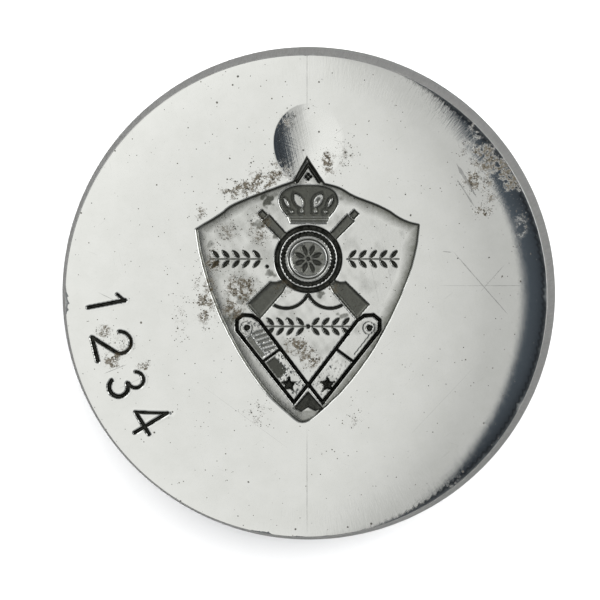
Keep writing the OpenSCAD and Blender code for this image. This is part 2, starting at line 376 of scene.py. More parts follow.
# ---------------------------------------------------------------- the die
# A hardened tool-steel disc, turned and ground to a slight taper, its face domed and rolled over
# at the edge by hand polishing. The shield is cut by hand and with punches; its deepest parts stay
# dull, and the digits and the round hollow were struck and ground in afterwards.
TOP_Z = 38.0
FACE_R = 31.75
DOME_DROP = 0.25
EDGE_ROLL = 0.55
FIELD_DEPTH = 1.0
HOLLOW = (0.5, 20.4)
HOLLOW_DEPTH = 0.5
DIGIT_R = 26.3
DIE_SCREW_R = 3.02
DIE_SCREW_DEPTH = 13.0
DIE_DOWEL_DEPTH = 11.0
AXIS_X = 0.3
ROUNDEL = (AXIS_X, 4.9)
# Outlines in mm: the shield with its sharp CORNERS, the crown, one butt and one collar tab, which are
# mirrored about AXIS_X, the tab's button and the way it points, and the patch at the shield's foot.
SHIELD = np.array([(0.1, 18.6), (-1.7, 15.2), (-5.8, 13.7), (-10.1, 12.0), (-11.3, 10.8), (-14.6, 8.9),
                   (-14.0, 5.0), (-12.2, -0.9), (-9.3, -7.0), (-5.7, -12.4), (-2.0, -15.9),
                   (-0.3, -17.0), (1.9, -15.3), (4.9, -12.5), (7.8, -8.9), (10.7, -4.1), (13.6, 2.3),
                   (14.8, 6.9), (15.0, 9.5), (12.7, 10.1), (10.2, 11.9), (6.6, 13.1), (4.6, 14.4),
                   (2.5, 14.9)])
CORNERS = [0, 1, 5, 18, 23]
CROWN = np.array([(-2.4, 9.5), (-2.7, 10.4), (-3.7, 11.5), (-4.0, 12.6), (-3.6, 13.8), (-2.2, 14.6),
                  (0.0, 14.8), (2.2, 14.6), (3.6, 13.9), (4.1, 12.7), (3.8, 11.5), (2.8, 10.4),
                  (2.5, 9.5)]) + (AXIS_X, 0)
BUTT = np.array([(3.2, 0.5), (6.4, -3.2), (8.2, -1.1), (5.0, 2.0), (4.3, 1.9), (3.4, 2.2),
                 (2.7, 1.6)]) + (AXIS_X, 0)
TAB = np.array([(6.3, -3.0), (7.3, -2.3), (8.7, -2.2), (9.7, -3.0), (9.7, -4.6), (1.9, -14.5),
                (-0.3, -11.7)]) + (AXIS_X, 0)
BUTTON = np.array([8.4, -4.2])
TAB_WAY = np.array([-0.594, -0.805])
PATCH = np.array([(0.0, -12.5), (2.0, -14.8), (0.9, -15.2), (0.0, -14.7), (-0.9, -15.3),
                  (-2.0, -14.8)]) + (AXIS_X, 0)
# Smudges of old polish, as (x, y, radius x, radius y, tone), and the stock digits 1 to 4, as the angle
# round the face and the angle of each upright, in degrees.
SMUDGES = [(-5.1, 12.7, 1.2, 1.3, 1.2), (-6.3, 9.4, 1.3, 0.9, 0.8), (-4.6, 13.3, 1.6, 0.7, 0.8),
           (-8.4, -0.4, 1.6, 1.1, 0.7), (-4.6, 3.0, 1.0, 0.7, 0.9), (-3.9, 7.9, 0.7, 0.6, 0.9),
           (-10.3, -3.4, 1.4, 1.0, 0.9), (1.9, 0.3, 0.8, 0.8, 0.9), (4.8, -2.6, 0.9, 0.6, 0.8),
           (-12.6, 6.9, 0.7, 0.9, 0.7), (4.6, 12.9, 0.9, 0.6, 0.7), (-9.6, -3.0, 1.6, 1.2, 0.9)]
DIGITS = [(182, 11), (194, 14), (206, 23), (218, 31)]


def eased(loop, corners, rounds=2):
    """Corner cutting: each vertex but the corners gives way to the points a quarter along its two sides."""
    keep = np.isin(np.arange(len(loop)), corners)
    for _ in range(rounds):
        back, on = (3 * loop + np.roll(loop, 1, 0)) / 4, (3 * loop + np.roll(loop, -1, 0)) / 4
        pair = np.where(keep[:, None, None], loop[:, None], np.stack([back, on], 1)).reshape(-1, 2)
        once = np.ones(len(pair), bool)
        once[1::2] = ~keep
        loop, keep = pair[once], np.repeat(keep, 2)[once]
    return loop


def walk(loop, step):
    """Points evenly spaced along a closed loop of straight sides."""
    c = np.r_[loop, loop[:1]]
    along = np.r_[0, np.hypot(*np.diff(c, axis=0).T).cumsum()]
    s = np.arange(0, along[-1] - step / 2, step)
    return np.c_[np.interp(s, along, c[:, 0]), np.interp(s, along, c[:, 1])]


# Distances from every point to the edge of a plane shape, negative inside it.
def d_circle(p, c, r):
    """|p - c| - r."""
    return np.hypot(p[:, 0] - c[0], p[:, 1] - c[1]) - r


def d_segment(p, a, b, w):
    """|p - a - t(b - a)| less half the width, with t held in 0..1."""
    a, b = np.array(a, float), np.array(b, float)
    t = np.clip((p - a) @ (b - a) / ((b - a) @ (b - a)), 0, 1)
    return np.linalg.norm(p - a - t[:, None] * (b - a), axis=1) - w / 2


def d_poly(p, pts):
    """Distance to the nearest side, signed by the even-odd rule."""
    a = np.array(pts, float)
    best = np.full(len(p), np.inf)
    inside = np.zeros(len(p), bool)
    for s, e in zip(a, np.roll(a, -1, axis=0)):
        d = e - s
        t = np.clip((p - s) @ d / (d @ d), 0, 1)
        best = np.minimum(best, np.hypot(p[:, 0] - s[0] - t * d[0], p[:, 1] - s[1] - t * d[1]))
        slope = d[0] / (d[1] if d[1] else 1e-9)
        inside ^= ((s[1] > p[:, 1]) != (e[1] > p[:, 1])) & (p[:, 0] < s[0] + (p[:, 1] - s[1]) * slope)
    return np.where(inside, -best, best)


def d_bar(p, a, b, w0, w1=None):
    """A square-ended bar from a to b, w0 wide at a and w1 at b."""
    a, b = np.array(a, float), np.array(b, float)
    u = (b - a) / np.linalg.norm(b - a)
    n = np.array((-u[1], u[0])) / 2
    w1 = w0 if w1 is None else w1
    return d_poly(p, np.array([a - n * w0, b - n * w1, b + n * w1, a + n * w0]))


def d_arc(p, c, r, w, a0, a1):
    """A ring of radius r and width w, cut to the angles a0..a1 in degrees."""
    q = p - np.array(c)
    mid, half = math.radians((a0 + a1) / 2), math.radians((a1 - a0) / 2)
    turn = np.abs((np.arctan2(q[:, 1], q[:, 0]) - mid + math.pi) % (2 * math.pi) - math.pi)
    return np.hypot(np.abs(np.hypot(q[:, 0], q[:, 1]) - r), np.clip(turn - half, 0, None) * r) - w / 2


def d_leaf(p, c, angle, length, width):
    """The lens where two equal circles of radius (l^2 + w^2) / 4w overlap."""
    r = (length**2 + width**2) / (4 * width)
    n = np.array((-math.sin(math.radians(angle)), math.cos(math.radians(angle)))) * (r - width / 2)
    return np.maximum(d_circle(p, c + n, r), d_circle(p, c - n, r))


def d_star(p, c, r, inner):
    """Five points: a polygon of ten corners, at r and inner by turns."""
    k = np.arange(10)
    a, rr = np.radians(90 + 36 * k), np.where(k % 2 == 0, r, inner)
    return d_poly(p, np.c_[c[0] + rr * np.cos(a), c[1] + rr * np.sin(a)])


def union(*ds):
    """The nearest of several shapes."""
    return np.minimum.reduce(ds)


def ripple(p, step, seed, n=7):
    """A low, even waviness: n sines of random direction and phase, of about that wavelength."""
    r = np.random.default_rng(seed)
    a, f = r.uniform(0, 2 * math.pi, n), r.uniform(0.7, 1.5, n) * 2 * math.pi / step
    return np.sin(p @ (np.c_[np.cos(a), np.sin(a)] * f[:, None]).T + r.uniform(0, 6.3, n)).mean(axis=1)


def cut(d, depth, wall, hollow=1.0):
    """Depth of a pocket, from 0 at its edge to the full depth a wall's width inside: 1 - (1 - t)^hollow."""
    t = np.clip(-d / wall, 0, 1)
    return depth * (smooth(t) if hollow == 1.0 else 1 - (1 - t) ** hollow)


def band(v, half, soft):
    """1 where |v| < half, falling to 0 over the soft width."""
    return smooth((half - np.abs(v)) / soft + 0.5)


def mirrored(p):
    """Each point carried to the right of the engraving's axis: x = AXIS_X + |x - AXIS_X|."""
    return np.c_[AXIS_X + np.abs(p[:, 0] - AXIS_X), p[:, 1]]


def face_height(r):
    """A shallow dome that rolls over at its edge: z = top - dome (r/R)^2 - roll (r/R)^9."""
    return TOP_Z - DOME_DROP * (r / FACE_R) ** 2 - EDGE_ROLL * (r / FACE_R) ** 9


OUTLINE = eased(SHIELD, CORNERS)
CROWN_LINE = eased(CROWN, [0, 12])


def shield_edge(p):
    """The shield's outline, wavering a little as hand cutting does."""
    return d_poly(p, OUTLINE) + 0.035 * ripple(p, 2.2, 3) + 0.03 * ripple(p, 7.0, 4)


def crown_edge(p):
    """The crown's outline."""
    return d_poly(p, CROWN_LINE)


def barrel_edge(p):
    """The upper ends of the crossed arms: a bar that widens outwards, with a narrower tip."""
    q = mirrored(p)
    return union(d_bar(q, (3.4, 7.7), (6.0, 10.4), 1.3, 1.5), d_bar(q, (5.9, 10.3), (6.75, 11.2), 1.05))


def butt_edge(p):
    """The butts of the crossed arms, mirrored about the axis."""
    return d_poly(mirrored(p), BUTT)


def tab_edge(p):
    """The outline of the two collar tabs, mirrored about the axis."""
    return d_poly(mirrored(p), TAB)


def hollow_reach(p):
    """How far out a point lies in the egg-shaped hollow: 0 at its bottom, 1 on its edge."""
    x, y = p[:, 0] - HOLLOW[0], p[:, 1] - HOLLOW[1]
    return np.hypot(x / 4.75, y / np.where(y > 0, 5.0, 6.0))


def digit_edge(p, k, h=5.0, t=0.6):
    """The stock digits 1 to 4, drawn in strokes of width t about the origin."""
    w = 0.66 * h
    if k == 1:
        return union(d_segment(p, (0.1, -h / 2), (0.1, h / 2), t),
                     d_segment(p, (-0.9, h / 2 - 0.9), (0.1, h / 2 - 0.1), t * 0.8))
    if k == 2:
        return union(d_arc(p, (0, h / 2 - w / 2 + 0.2), w / 2 - 0.2, t * 0.9, -30, 170),
                     d_segment(p, (w / 2 - 0.4, h / 2 - w / 2 - 0.5), (-w / 2 + 0.15, -h / 2 + 0.2), t),
                     d_segment(p, (-w / 2 + 0.1, -h / 2 + 0.1), (w / 2, -h / 2 + 0.1), t * 1.1))
    if k == 3:
        return union(d_arc(p, (0, h / 4 + 0.05), h / 4 - 0.2, t * 0.9, -90, 155),
                     d_arc(p, (0, -h / 4 + 0.1), h / 4, t * 1.1, -155, 90))
    return union(d_segment(p, (0.6, -h / 2), (0.6, h / 2), t),
                 d_segment(p, (-w / 2, -h / 5), (w / 2 + 0.1, -h / 5), t),
                 d_segment(p, (-w / 2, -h / 5), (0.6, h / 2), t * 0.8))


def digits_edge(p):
    """The digits of DIGITS, each turned about its own middle and set on the circle DIGIT_R."""
    best = np.full(len(p), 9.0)
    for k, (at, up) in enumerate(DIGITS):
        c, s = math.cos(math.radians(up - 90)), math.sin(math.radians(up - 90))
        turned = (p - np.array(polar(at, DIGIT_R))) @ np.array([(c, -s), (s, c)])
        best = np.minimum(best, digit_edge(turned, k + 1))
    return best


def sprig(p, centre, pairs, pitch, way):
    """Leaves in pairs on a stem, standing where a badge would carry its wording."""
    c = np.array(centre)
    best = d_segment(p, c - (pairs * pitch / 2, 0), c + (pairs * pitch / 2, 0), 0.2)
    for i in range(pairs):
        for s in (-1, 1):
            at = c + ((i - (pairs - 1) / 2) * pitch, s * 0.64)
            best = np.minimum(best, d_leaf(p, at, way * s * 48, 1.55, 0.6))
    return best


def engraving(p):
    """Depth below the face, and the dullness of the bottom with painted shade along the shield's walls added
    in: 0 bright, 1 matt, 2 black with old polish.
    """
    q = mirrored(p)
    right = p[:, 0] > AXIS_X
    shield = shield_edge(p)
    inside = np.clip(-shield, 0, None)
    steep = cut(shield - 0.04, 0.86 * FIELD_DEPTH, 0.30)
    gentle = cut(shield, 0.14 * FIELD_DEPTH, 1.7 + 0.3 * ripple(p, 9.0, 5), 2.0)
    # painted shade: the field darkens over about 2 mm in from the shield's walls, a little more on the right,
    # and the upper walls are darkened further, up into the black range
    near_wall = np.clip(1.03 - inside / (1.9 + 0.5 * ripple(p, 4.0, 6)), 0, 1)
    shade = (1.0 + 0.12 * smooth(p[:, 0] / 6)) * near_wall * smooth(inside / 0.12)
    under_top = smooth((p[:, 1] - 7.5) / 3)
    shade = np.maximum(shade, 1.5 * under_top * band(shield + 0.16, 0.16, 0.1))
    layers, lips = [], []

    def mark(d, deep, wall, tone, hollow=1.0, lip=False):
        """One pocket with the edge distance d, its tone fading in just inside the edge."""
        layers.append((cut(d, deep, wall, hollow), tone * smooth(-d / 0.12 + 0.3)))
        if lip:
            lips.append(d)

    # crown: a dull body with the openings between its arches and the crosses under them left standing
    crown = crown_edge(p)
    opening = union(d_leaf(q, (AXIS_X + 1.27, 12.6), 60, 2.25, 1.15),
                    d_leaf(q, (AXIS_X + 2.9, 12.35), 62, 1.7, 0.55))
    pip = union(d_circle(q, (AXIS_X + 0.9, 11.15), 0.27), d_circle(q, (AXIS_X + 2.25, 11.1), 0.27),
                d_circle(q, (AXIS_X + 0.9, 11.5), 0.14))
    core = np.where(right, d_leaf(p, np.array((AXIS_X + 1.3, 12.6)), 60, 1.15, 0.5), 9)
    bright = np.maximum(smooth(-opening / 0.12) * (1 - 0.7 * smooth(-core / 0.12)), 0.7 * smooth(-pip / 0.12))
    halo = np.exp(-((union(opening, pip) - 0.14) / 0.13) ** 2)
    hoops = 0.5 + 0.5 * np.cos((p[:, 1] - 9.72) * 2 * math.pi / 0.36)
    on_band = smooth((10.82 - p[:, 1]) * 6)
    body = cut(crown, 0.42, 0.34, 2.0)
    raised = 0.26 * bright * (body > 0) + 0.12 * hoops * on_band * smooth(-(crown + 0.1) * 6)
    crown_tone = 1.24 - 0.82 * bright + 0.3 * halo * (1 - on_band) - 0.42 * hoops * on_band
    layers.append((body - raised + 0.06 * halo * (body > 0.2), smooth(-crown / 0.14) * crown_tone))
    lips.append(crown)

    # roundel: two black grooves, the second beaded, then a thin ring and a dull core with a rosette
    rad = np.hypot(p[:, 0] - ROUNDEL[0], p[:, 1] - ROUNDEL[1])
    turn = np.arctan2(p[:, 1] - ROUNDEL[1], p[:, 0] - ROUNDEL[0])
    beads = 0.05 * np.cos(turn * 40)
    petals = union(*[d_leaf(p, np.array(ROUNDEL) + polar(45 * i + 22.5, 1.22), 45 * i + 22.5, 1.7, 0.74)
                     for i in range(8)],
                   d_circle(p, ROUNDEL, 0.34))
    first = band(rad - 4.12, 0.34, 0.14)
    second = band(rad - 3.32 - beads, 0.28, 0.12)
    third = band(rad - 2.58, 0.07, 0.10)
    within = smooth((2.34 - rad) / 0.14)
    layers.append((0.60 * first, 1.85 * first))
    layers.append((0.55 * second, 1.85 * second))
    layers.append((0.30 * third + 0.12 * (rad < 4.3),
                   np.maximum(1.3 * third, 0.55 * (rad < 3.05) * (rad > 2.5))))
    layers.append((0.42 * within + cut(petals, 0.26, 0.2),
                   np.maximum(0.93 * within, 1.6 * smooth(-petals / 0.14 + 0.2))))
    lips.append(rad - 4.46)

    # crossed long arms behind the roundel, and the cord curls below it
    outside = rad > 4.5
    barrel, butt = np.where(outside, barrel_edge(p), 9), np.where(outside, butt_edge(p), 9)
    ring_at = np.abs((q[:, 0] - 5.95) * 0.69 + (q[:, 1] - 10.35) * 0.72)
    mark(barrel, 0.48, 0.3, 1.13, 1.6, lip=True)
    layers[-1] = (layers[-1][0] - 0.16 * band(ring_at, 0.06, 0.1) * (barrel < -0.1),
                  layers[-1][1] - 0.4 * band(ring_at, 0.05, 0.1) * (barrel < 0))
    mark(butt, 0.5, 0.5, 1.22, 1.8, lip=True)
    cord = d_arc(q, (AXIS_X + 2.9, 1.55), 3.15, 0.46, 202, 300)
    mark(np.where(outside, np.maximum(cord, -butt), 9), 0.4, 0.2, 1.6)

    # collar tabs: a deep frame line, a divider, a button with its rim, and a ragged star
    tab = tab_edge(p)
    along, side = (q - BUTTON) @ TAB_WAY, (q - BUTTON) @ np.array([0.805, -0.594])
    within_tab = smooth(-(tab + 0.55) / 0.1)
    grain = ripple(p, 0.9, 12) + 0.8 * ripple(p, 0.42, 13)
    mark(np.maximum(tab, -(tab + 0.56)), 0.6, 0.2, 1.95)
    lips += [tab, -(tab + 0.56)]
    mark(np.maximum(np.abs(along - 4.85) - 0.2, tab + 0.3), 0.5, 0.16, 1.9)
    mark(d_circle(q, BUTTON, 0.44) + 0.08 * grain, 0.45, 0.2, 1.75)
    mark(np.abs(d_circle(q, BUTTON, 0.80)) - 0.09, 0.14, 0.12, 0.8)
    mark(d_star(q, (2.85, -11.65), 1.2, 0.56) + 0.14 * grain, 0.5, 0.25, 1.9)
    ribs = smooth(1.4 * np.cos((along + 0.35 * side) * 2 * math.pi / 0.68) + 0.3)
    rib_zone = within_tab * smooth((along - 0.9) * 4) * smooth((4.5 - along) * 4)
    inner = smooth((0.2 - side) * 4)
    stretch = smooth((along - 5.15) * 5) * smooth((8.1 + 0.5 * grain - along) * 2.5)
    lower = within_tab * stretch * smooth((side + 0.95 + 0.5 * grain) * 4)
    flecks = smooth((grain - 0.25) * 3) * within_tab
    left_shade = np.maximum.reduce([rib_zone * np.where(side > 0.2, 0.95, 0.95 * (1 - ribs) * inner),
                                    1.42 * lower, 0.5 * flecks])
    right_shade = np.maximum(0.42 * flecks * smooth((along - 5) / 2),
                             0.7 * within_tab * band(tab + 0.86, 0.05, 0.08) * (side > 0.2) * (along < 4))
    layers.append((np.where(right, 0.1 * right_shade, 0.22 * left_shade),
                   np.where(right, right_shade, left_shade)))

    # the loop at the head, the patch at the foot and the sprigs
    legs = d_segment(q, (AXIS_X - 0.1, 17.5), (AXIS_X + 1.5, 15.1), 0.5)
    mark(legs, 0.4, 0.2, 1.45)
    spot = np.abs(p - (0.32, 15.75))
    mark(union(d_circle(spot, (0.3, 0.0), 0.26), d_circle(spot, (0.0, 0.3), 0.26)), 0.35, 0.2, 1.8)
    mark(d_poly(p, PATCH), 0.4, 0.2, 1.7, lip=True)
    below = smooth((-14.9 - p[:, 1]) * 3) * smooth(inside / 0.3)
    layers.append((0.05 * below, 0.75 * below))
    rows = union(sprig(p, (-9.2, 4.9), 5, 1.36, -1), sprig(p, (8.9, 4.9), 5, 1.36, 1),
                 d_circle(p, (-5.1, 3.9), 0.26),
                 sprig(p, (-2.7, -4.0), 4, 1.32, -1), sprig(p, (3.3, -4.0), 4, 1.32, 1),
                 d_circle(p, (AXIS_X, -4.0), 0.32))
    mark(rows, 0.32, 0.2, 1.62)

    in_field = smooth((inside - 0.15) / 0.2)
    for x, y, rx, ry, tone in SMUDGES:
        away = np.hypot((p[:, 0] - x) / rx, (p[:, 1] - y) / ry)
        layers.append((0 * rad, tone * smooth(1.5 - 1.5 * away + 0.9 * ripple(p, 0.9, 17))))
    cloud = ripple(p, 5.0, 15) + 0.5 * ripple(p, 1.6, 16)
    tarnish = 0.13 + 0.30 * np.clip(cloud + 0.25 - 0.04 * p[:, 0], 0, 1)
    sunk = np.maximum.reduce([a for a, _ in layers]) * in_field
    # this mask holds the tones of the cuts' bottoms, the tarnish and the painted shade along the shield's
    # walls
    dull_and_shade = np.maximum.reduce([b for _, b in layers] + [shade, tarnish]) * smooth(inside / 0.05)
    lip = 0.035 * np.exp(-((union(*lips) - 0.1) / 0.07) ** 2) * (sunk < 0.08) * in_field
    digits = digits_edge(p) + 0.03 * ripple(p, 0.8, 9)
    struck = cut(digits, 0.38, 0.24)
    burr = 0.022 * np.exp(-((digits - 0.13) / 0.10) ** 2) * (1 + 0.8 * ripple(p, 1.6, 14))
    reach = hollow_reach(p)
    soft = 1 + 0.9 * smooth((p[:, 0] + 0.5) / 4)
    bowl = HOLLOW_DEPTH * np.clip(1 - reach**2, 0, None) ** soft
    total = np.maximum(steep + gentle + sunk - lip, bowl * (shield > -0.3)) + struck - burr
    in_bowl = smooth((1.0 - reach) * 9) * (1 - smooth(inside / 0.2))
    return total, np.maximum(np.clip(dull_and_shade, 0, 2), 1.85 * smooth(struck / 0.1)), in_bowl


def drawn_to(p, edge, level, within):
    """Points nearer than within to the curve edge = level, moved onto it along the edge's gradient."""
    e = 1e-3
    v = edge(p) - level
    g = np.c_[edge(p + (e, 0)) - edge(p - (e, 0)), edge(p + (0, e)) - edge(p - (0, e))] / (2 * e)
    g /= np.maximum((g**2).sum(1, keepdims=True), 0.25)
    return np.where(np.abs(v)[:, None] < within, p - v[:, None] * g, p)


def hexgrid(x0, x1, y0, y1, h):
    """Points h apart in rows h cos 30 apart, every other row moved by h / 2."""
    x, y = np.meshgrid(np.arange(x0, x1, h), np.arange(y0, y1, h * 0.866))
    x[1::2] += h / 2
    return np.c_[x.ravel(), y.ravel()]


RIM_N = 480
STEP = 0.118
RINGS = (2.26, 2.34, 2.42, 2.5, 2.56, 2.62, 2.7, 2.85, 2.98, 3.08, 3.3, 3.54, 3.62, 3.68, 3.74, 3.82,
         4.1, 4.38, 4.46, 4.54, 4.62)
fine = hexgrid(-16, 16, -18, 19.6, STEP)
fine = fine[d_poly(fine, OUTLINE) < -0.40]
fine = fine[np.abs(d_circle(fine, ROUNDEL, 3.44)) > 1.26]
for edge, level in ((crown_edge, 0), (barrel_edge, 0), (butt_edge, 0), (tab_edge, 0), (tab_edge, -0.56)):
    fine = drawn_to(fine, edge, level, 0.45 * STEP)
ringed = np.concatenate([circle_pts(ROUNDEL, r, int(2 * math.pi * r / STEP)) for r in RINGS])
line = walk(OUTLINE, STEP * 1.05)
walls = np.concatenate([drawn_to(drawn_to(line, shield_edge, level, 9), shield_edge, level, 9)
                        for level in (0.12, 0.04, -0.03, -0.10, -0.17, -0.24, -0.32)])
struck_pts = hexgrid(-30, -18, -21, 3, STEP * 1.1)
struck_pts = drawn_to(struck_pts[digits_edge(struck_pts) < 0.45], digits_edge, 0.0, 0.45 * STEP)
bowl_pts = np.concatenate([hexgrid(-5, 6, 14, 26, 0.28), *[c * (4.75, 5.0) + HOLLOW for c in
                           (circle_pts((0, 0), k, 200) for k in (0.985, 1.0, 1.02))]])
bowl_pts = bowl_pts[(hollow_reach(bowl_pts) < 1.06) & (d_poly(bowl_pts, OUTLINE) > 0.3)]
coarse = hexgrid(-31, 31, -31, 31, 0.62)
coarse = coarse[(np.hypot(*coarse.T) < 25.5) & (d_poly(coarse, OUTLINE) > 0.55) & (digits_edge(coarse) > 0.75)
                & (hollow_reach(coarse) > 1.1)]
roll = np.concatenate([circle_pts((0, 0), r, 200) @ np.array([(math.cos(r), math.sin(r)),
                                                              (-math.sin(r), math.cos(r))])
                       for r in np.linspace(25.9, 31.3, 14)])
roll = roll[digits_edge(roll) > 0.7]
rim = circle_pts((0, 0), FACE_R - 0.02, RIM_N)
pts = np.concatenate([fine, ringed, walls, struck_pts, bowl_pts, coarse, roll])
pts = np.r_[pts[np.unique(np.round(pts, 2), axis=0, return_index=True)[1]], rim]
# the second value holds the dull bottoms of the cuts and the painted shade along the shield's walls
depth, dullness_and_shade, in_bowl = engraving(pts)
radius = np.hypot(*pts.T)
wave = 0.0035 * ripple(pts, 13.0, 21) + 0.0012 * ripple(pts, 4.0, 22)
top = np.c_[pts, face_height(radius) - depth + wave * smooth((31.5 - radius) / 2)]

# patches of old rust, as (x, y, radius x, radius y, fill): fill at the middle, 0 at 1.3 radii
RUST = [(22.8, 22.4, 1.8, 2.4, 0.8), (23.5, 18.4, 2.6, 2.6, 1.0), (26.1, 17.0, 2.6, 2.4, 1.0),
        (27.4, 14.8, 1.8, 1.6, 1.0), (22.6, 15.2, 2.8, 2.0, 0.9), (24.5, 12.8, 1.3, 1.2, 0.7),
        (23.3, 11.2, 1.5, 1.2, 1.0), (21.0, 19.5, 1.6, 2.2, 0.5), (-9.2, 13.9, 2.6, 1.6, 0.95),
        (-7.6, 14.2, 2.4, 1.4, 1.0), (-5.6, 15.4, 2.8, 1.9, 0.9), (-3.4, 16.4, 2.4, 2.0, 0.75),
        (-14.0, 11.0, 1.1, 1.0, 0.9), (3.4, 17.4, 2.4, 2.2, 0.7), (2.7, 18.0, 0.8, 1.3, 1.3),
        (5.4, 18.8, 2.4, 2.2, 0.4), (-2.6, 23.0, 1.4, 2.2, 0.5), (-13.2, -0.5, 2.2, 5.0, 0.75),
        (-12.4, 4.6, 2.4, 3.2, 0.55), (-8.6, 1.0, 2.8, 2.6, 0.95), (-9.6, -1.6, 2.0, 2.0, 0.95),
        (-6.0, 9.0, 2.0, 3.0, 0.7), (-10.5, 8.6, 2.6, 2.0, 0.5), (-1.2, -6.6, 2.3, 1.5, 1.05),
        (0.5, -8.2, 1.8, 1.8, 1.05), (-2.8, 1.2, 2.2, 1.4, 0.5), (3.5, 1.0, 1.8, 1.4, 0.45),
        (-26.6, -4.6, 1.6, 1.2, 0.8), (-25.4, -8.4, 1.6, 1.6, 1.0), (-21.4, -9.4, 1.3, 1.3, 0.8),
        (-24.4, -6.6, 2.8, 2.4, 0.4), (-16.6, -2.8, 1.6, 4.0, 0.35), (20.4, -24.6, 2.4, 1.2, 0.7),
        (-6.6, -15.5, 2.6, 2.2, 0.45), (6.6, -16.5, 2.0, 2.2, 0.35), (28.4, 9.5, 1.5, 4.0, 0.4)]
rusty = np.maximum.reduce([fill * smooth(1 - np.hypot((pts[:, 0] - x) / rx, (pts[:, 1] - y) / ry) / 1.3)
                           for x, y, rx, ry, fill in RUST])

# the flank: from the rim over a nicked edge, down the taper, to the small chamfer at its foot
unit = circle_pts((0, 0), 1.0, RIM_N)
edge_z = face_height(FACE_R)
nick = 0.05 * np.clip(ripple(unit * 40, 9.0, 31) * 3 - 1.2, 0, 1) + 0.012 * ripple(unit * 40, 2.0, 32)
rows = [(FACE_R - 0.02, face_height(FACE_R - 0.02), 0.0), (FACE_R + 0.06, edge_z - 0.025, 1.0),
        (FACE_R + 0.10, edge_z - 0.09, 1.0)]
rows += [(FACE_R + 0.1 + (FOOT_R - FACE_R - 0.1) * t, edge_z + (BLOCK_H - edge_z) * t, 0.0)
         for t in (0.012, 0.1, 0.3, 0.5, 0.7, 0.9, 0.985)]
rows += [(FOOT_R - 0.25, BLOCK_H, 0.0)]
flank = np.concatenate([np.c_[unit * (r - k * nick)[:, None], z0 - k * nick] if k else
                        np.c_[unit * r, np.full(RIM_N, z0)] for r, z0, k in rows])
flank[:RIM_N] = top[-RIM_N:]
die_holes = [(x, y, DIE_SCREW_R, HOLE_N) for x, y in screws] + reamed
deep = [DIE_SCREW_DEPTH] * len(screws) + [DIE_DOWEL_DEPTH] * len(dowels)
wells = [well(x, y, r, BLOCK_H, BLOCK_H + down, m, 1.2) for (x, y, r, m), down in zip(die_holes, deep)]

# Pepper: round specks scattered one to a cell, in the share of the cells that Density gives.
n, gi, go, pepper = group("Pepper", {"P": ("Vector", (0, 0, 0)), "Density": ("Float", 0.5),
                                     "Scale": ("Float", 4000.0)},
                          ["Mask", "Shade"])
cell = n.add("ShaderNodeTexVoronoi", {"Vector": gi["P"], "Scale": gi["Scale"]}, feature="F1")
pick = n.add("ShaderNodeSeparateColor", {0: cell.outputs["Color"]})
reach = n.math("ADD", n.times(pick.outputs[1], 0.34), 0.14)
n.put(n.times(n.remap(n.math("SUBTRACT", cell.outputs["Distance"], reach), -0.09, 0.07, 1.0, 0.0),
              n.math("LESS_THAN", pick.outputs[0], gi["Density"])), go["Mask"])
n.put(pick.outputs[2], go["Shade"])

# Scratch: a line from A to B in the plane of the face, thick at its middle, of wandering width.
n, gi, go, scratch = group("Scratch", {"P": ("Vector", (0, 0, 0)), "A": ("Vector", (0, 0, 0)),
                                       "B": ("Vector", (0, 0, 0)),
                                       "Width": ("Float", 0.0001)}, ["Mask"])
pa = n.vec("SUBTRACT", n.vec("MULTIPLY", gi["P"], (1, 1, 0)), gi["A"])
ba = n.vec("SUBTRACT", gi["B"], gi["A"])
t = n.math("DIVIDE", n.vec("DOT_PRODUCT", pa, ba), n.vec("DOT_PRODUCT", ba, ba), clamp=True)
off = n.vec("LENGTH", n.vec("SUBTRACT", pa, n.scale(ba, t)))
taper = n.math("MULTIPLY", n.times(t, n.math("SUBTRACT", 1.0, t)), 6.0, clamp=True)
width = n.times(gi["Width"], taper, n.remap(n.noise(gi["P"], 700.0), 0.2, 0.7, 0.4, 1.2))
n.put(n.remap(n.math("SUBTRACT", off, width), -0.00003, 0.00003, 1.0, 0.0), go["Mask"])

# Hairlines: very fine lines in three directions, as a height for all and a mask of the boldest.
n, gi, go, hairlines = group("Hairlines", {"P": ("Vector", (0, 0, 0)), "Spacing": ("Float", 2600.0)},
                             ["Height", "Bold"])
total = bold = None
for angle, k in ((0.35, 1.0), (1.35, 1.3), (2.5, 0.8)):
    turned = n.add("ShaderNodeVectorRotate", {"Vector": gi["P"], "Angle": angle},
                   rotation_type="Z_AXIS").outputs[0]
    co = n.add("ShaderNodeSeparateXYZ", {0: turned})
    lines = n.noise(n.join(n.times(co.outputs[0], 190.0 * k), n.times(co.outputs[1], gi["Spacing"], k)),
                    1.0, 2.0)
    total = lines if total is None else n.math("ADD", total, lines)
    bold = n.remap(lines, 0.70, 0.76) if bold is None else n.most(bold, n.remap(lines, 0.70, 0.76))
n.put(total, go["Height"])
n.put(bold, go["Bold"])

